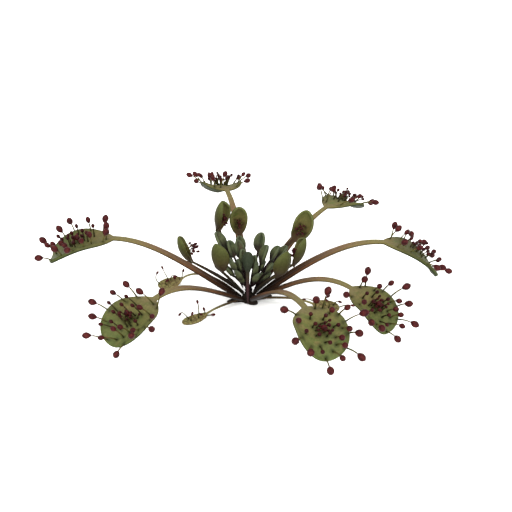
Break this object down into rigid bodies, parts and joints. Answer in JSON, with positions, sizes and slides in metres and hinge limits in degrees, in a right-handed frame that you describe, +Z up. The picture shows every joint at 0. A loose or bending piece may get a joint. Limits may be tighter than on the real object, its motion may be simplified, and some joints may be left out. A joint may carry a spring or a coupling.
{
  "type": "sundew plant",
  "caption": "Sundew rosette as picked: long-stalked spoon leaves with red gland tentacles round cupped young leaves and a dense heart.",
  "frame": {"origin": "centre of the flat underside of the crown, on the surface that the plant rests on", "axes": "+Z up, -Y the side seen first, +X the widest way across the rosette"},
  "size_m": [0.1029, 0.0983, 0.0275],
  "materials": {
    "crown": "rough dark stem base",
    "large_leaf": "matte olive leaf with crimson glands",
    "young_leaf": "matte olive leaf",
    "old_leaf": "dry khaki leaf",
    "heart_leaf": "matte dark green leaf"
  },
  "bodies": {
    "root": {"crown": "crown", "large_leaf_1": "large_leaf", "large_leaf_2": "large_leaf", "large_leaf_3": "large_leaf", "large_leaf_4": "large_leaf", "large_leaf_5": "large_leaf", "large_leaf_6": "large_leaf", "large_leaf_7": "large_leaf", "young_leaf_1": "young_leaf", "young_leaf_2": "young_leaf", "young_leaf_3": "young_leaf", "young_leaf_4": "young_leaf", "young_leaf_5": "young_leaf", "young_leaf_6": "young_leaf", "young_leaf_7": "young_leaf", "old_leaf_1": "old_leaf", "old_leaf_2": "old_leaf", "old_leaf_3": "old_leaf", "heart_leaves": "heart_leaf", "front_leaf": "heart_leaf"}
  },
  "joints": []
}
